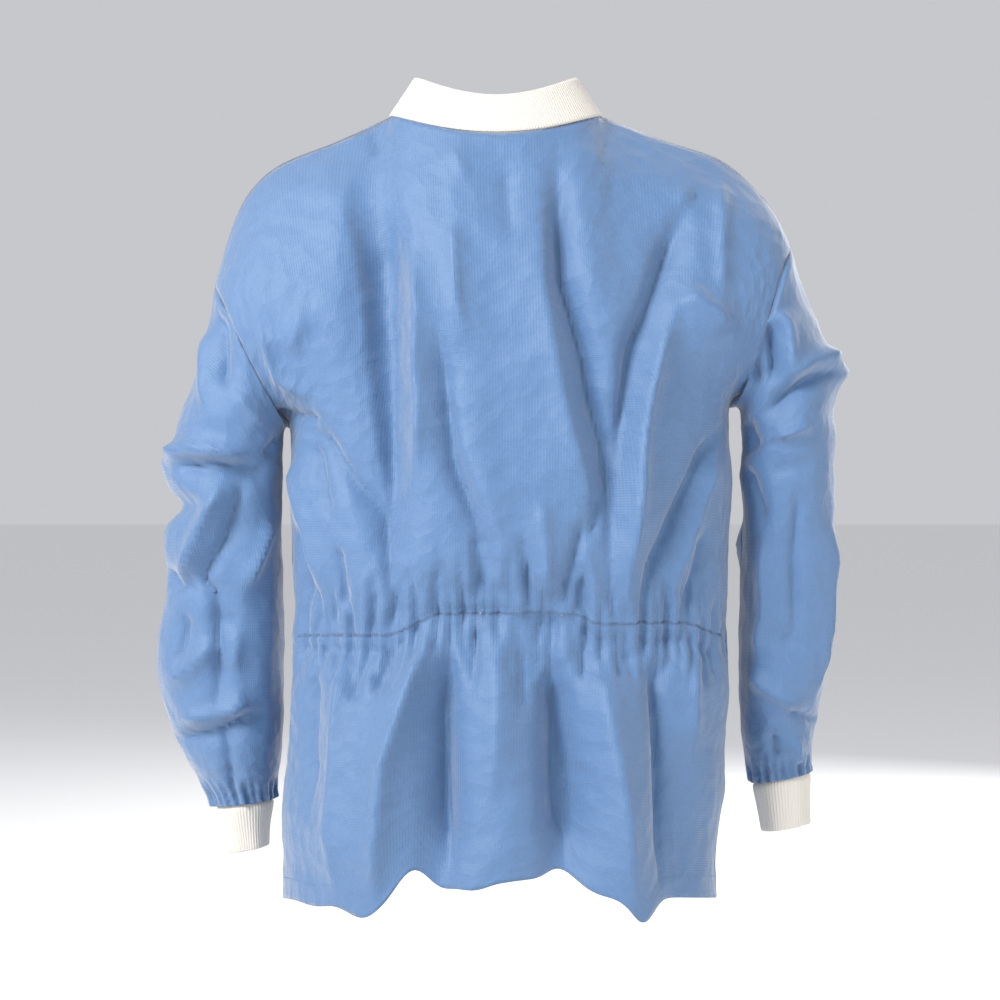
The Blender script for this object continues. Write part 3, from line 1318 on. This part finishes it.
def sample(grid, values, share, up):
    """A net's values between its points, at shares of the panel."""
    column = np.clip(LAPC + share * NC, 0, len(grid) - 1.001)
    row = np.clip(np.interp(up, rows_up, np.arange(NR + 1)), 0, NR - 0.001)
    i, j = column.astype(int), row.astype(int)
    f, g = (column - i)[..., None], (row - j)[..., None]
    v = values[grid]
    low = v[i, j] * (1 - f) * (1 - g) + v[i + 1, j] * f * (1 - g)
    return low + v[i, j + 1] * (1 - f) * g + v[i + 1, j + 1] * f * g


def place_of(arm, x, z):
    """The shares at which a front has a given x and z, by Newton steps."""
    s, t = 0.45 + 0 * x, 0.75 + 0 * x
    step = 1e-3
    for _ in range(14):
        p = body_point(False, arm, s, t)
        a = (body_point(False, arm, s + step, t) - p) / step
        b = (body_point(False, arm, s, t + step) - p) / step
        det = a[..., 0] * b[..., 2] - b[..., 0] * a[..., 2]
        dx, dz = x - p[..., 0], z - p[..., 2]
        s = s + (dx * b[..., 2] - dz * b[..., 0]) / det
        t = t + (dz * a[..., 0] - dx * a[..., 2]) / det
    return s, t


def pocket_lift(i, j):
    return 0.5 + POCKET_GAPE * np.maximum(0, np.sin(math.pi * i)) ** 0.8 * smooth(0.05, 0.95, j) ** 1.2


def pocket(name, grid, shares):
    across, tall = 44, 40
    i, j = np.meshgrid(np.linspace(0, 1, across), np.linspace(0, 1, tall), indexing="ij")
    share, up = shares(i, j)
    p, n = sample(grid, cloth, share, up), unit(sample(grid, cloth_normal, share, up))

    def layer(extra, rows):
        lifted = p[:, rows] + n[:, rows] * (pocket_lift(i, j)[:, rows] + extra)[..., None]
        index = np.arange(lifted[..., 0].size).reshape(lifted.shape[:2])
        uv = np.stack([i[:, rows] * 0.12, j[:, rows] * 0.13], -1).reshape(-1, 2)
        flat = lifted.reshape(-1, 3)
        return flat, turned_out(flat, quads_of(index), AXIS), uv, lifted

    flat, faces, uv, lifted = layer(0.45, slice(None))
    bag = thicken(build(name + "_cloth", flat, faces, CLOTH, uv), 0.4)
    flat, faces, uv, _ = layer(-0.05, slice(-8, None))
    hem = thicken(build(name + "_hem", flat, faces, CLOTH, uv), 0.35)
    lines = [lifted[1, :-1], lifted[-2, :-1], lifted[1:-1, 1], lifted[1:-1, -8]]
    outs = [n[1, :-1], n[-2, :-1], n[1:-1, 1], n[1:-1, -8]]
    made = []
    for line, out in zip(lines, outs):
        made += stitches(line + out * STITCH_LIFT)
    thread = threads(name + "_stitches", made, STITCH_RADIUS, PALE_THREAD)
    return bag, hem, thread


def chest_shares(i, j):
    inner, outer, low, high = CHEST_POCKET
    return place_of(LEFT, lerp(inner, outer, i), lerp(low, high, j))


def hip_shares(arm):
    start, end, low, high = HIP_POCKET
    hem = FRONT_PROFILE[-1][0]

    def up_at(z):
        return (z - hem) / (pit_z(arm) - hem) * PIT_ROW

    def shares(i, j):
        return lerp(start, end, i), lerp(up_at(low), up_at(high), j)

    return shares


POCKETS = {
    "chest_pocket": pocket("chest_pocket", FL, chest_shares),
    "left_hip_pocket": pocket("left_hip_pocket", FL, hip_shares(LEFT)),
    "right_hip_pocket": pocket("right_hip_pocket", FR, hip_shares(RIGHT)),
}


# ------------------------------------------------------------------ stitches that show outside
def topstitch(name, line):
    return threads(name, stitches(cloth[line] + cloth_normal[line] * STITCH_LIFT), STITCH_RADIUS, PALE_THREAD)


back_hem_thread = topstitch("back_hem_stitches", B[1:-1, 4])
left_hem_thread = topstitch("left_front_hem_stitches", FL[1:-1, 4])
right_hem_thread = topstitch("right_front_hem_stitches", FR[1:-1, 4])
left_placket_thread = topstitch("left_placket_stitches", FL[LAPC + 5, 3:-3])
right_placket_thread = topstitch("right_placket_stitches", FR[LAPC + 5, 3:-3])


def blend_front(piece, side):
    sign = 1 if side == "left" else -1
    top, hem = SWING_TOP * [sign, 1, 1], SWING_HEM * [sign, 1, 1]
    run = hem - top
    inward = unit(np.array([run[2], 0, -run[0]]))
    inward = inward if inward[0] * sign < 0 else -inward
    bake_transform(piece)


def blend_sleeve(piece):
    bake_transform(piece)


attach(back_panel, "jacket_body")
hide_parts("back_panel")
for piece in (back_hem, back_hem_thread, elastic, waist_thread, waist_lower_thread):
    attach(piece, "jacket_body")
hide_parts("waist_elastic")
SIDES = (
    ("left", left_front, left_hem, left_hem_thread, left_facing, left_placket_thread, left_collar,
     left_sleeve, left_cuff),
    ("right", right_front, right_hem, right_hem_thread, right_facing, right_placket_thread, right_collar,
     right_sleeve, right_cuff),
)
for side, front, hem, hem_thread, facing, placket_thread, collar, sleeve, cuff in SIDES:
    for piece in (front, hem, hem_thread, facing, placket_thread, collar):
        blend_front(piece, side)
    blend_sleeve(sleeve)
    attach(cuff, side + "_sleeve_body")
    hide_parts(side + "_front_panel", side + "_front_shoulder")
    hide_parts(side + "_placket_facing")
    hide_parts(side + "_collar_end", "collar_back")
    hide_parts(side + "_sleeve")
    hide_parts(side + "_cuff")
for node, seam, lock, body in seam_pieces:
    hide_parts(node)
    for piece in filter(None, (seam, lock)):
        if body == "jacket_body":
            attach(piece, body)
        else:
            blend_sleeve(piece)
for name, (bag, hem, thread) in POCKETS.items():
    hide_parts(name)
    for piece in (bag, hem, thread):
        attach(piece, "jacket_body")
for name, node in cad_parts.items():
    if name.startswith("snap_"):
        node.data.materials.clear()
        node.data.materials.append(SNAP)


# ------------------------------------------------------------------ studio
AIM = (0, 0, -0.4)
WORLD_COLOUR, WORLD_STRENGTH = (0.95, 0.96, 1.0, 1), 0.60
FLOOR_HALF, FLOOR_Z = 60000, -980
# name, place in metres, size in metres, watts
LIGHTS = [
    ("key", (1.9, 2.0, 1.1), 1.2, 126), ("fill", (-2.0, 1.7, 0.1), 1.6, 20),
    ("front", (-1.6, -2.2, 0.6), 1.6, 70), ("top", (0.1, 0.4, 2.2), 1.6, 4),
]


def put(name, data, place):
    made = bpy.data.objects.new(name, data)
    made.location = place
    bpy.context.scene.collection.objects.link(made)
    return made


def add_camera():
    camera = put("camera", bpy.data.cameras.new("camera"), (0.002, 2.6, -0.388))
    camera.rotation_euler = (math.radians(90), 0, math.radians(180))
    camera.data.lens = 93.6
    camera.data.sensor_width = 36
    bpy.context.scene.camera = camera


def add_light(name, place, size, power):
    data = bpy.data.lights.new(name, "AREA")
    data.size = size
    data.energy = power
    light = put(name, data, place)
    light.rotation_euler = (Vector(AIM) - light.location).to_track_quat("-Z", "Y").to_euler()
    light.visible_camera = False


def studio():
    add_camera()
    for light in LIGHTS:
        add_light(*light)
    world = bpy.data.worlds.new("studio")
    world.use_nodes = True
    background = world.node_tree.nodes["Background"]
    background.inputs[0].default_value = WORLD_COLOUR
    background.inputs[1].default_value = WORLD_STRENGTH
    bpy.context.scene.world = world
    bpy.context.scene.view_settings.view_transform = "Standard"
    corners = [(-1, -1), (1, -1), (1, 1), (-1, 1)]
    ground = [(x * FLOOR_HALF, y * FLOOR_HALF, FLOOR_Z) for x, y in corners]
    build("studio_floor", ground, [(0, 1, 2, 3)], plain("floor", (0.9, 0.9, 0.9), 0.9))


studio()
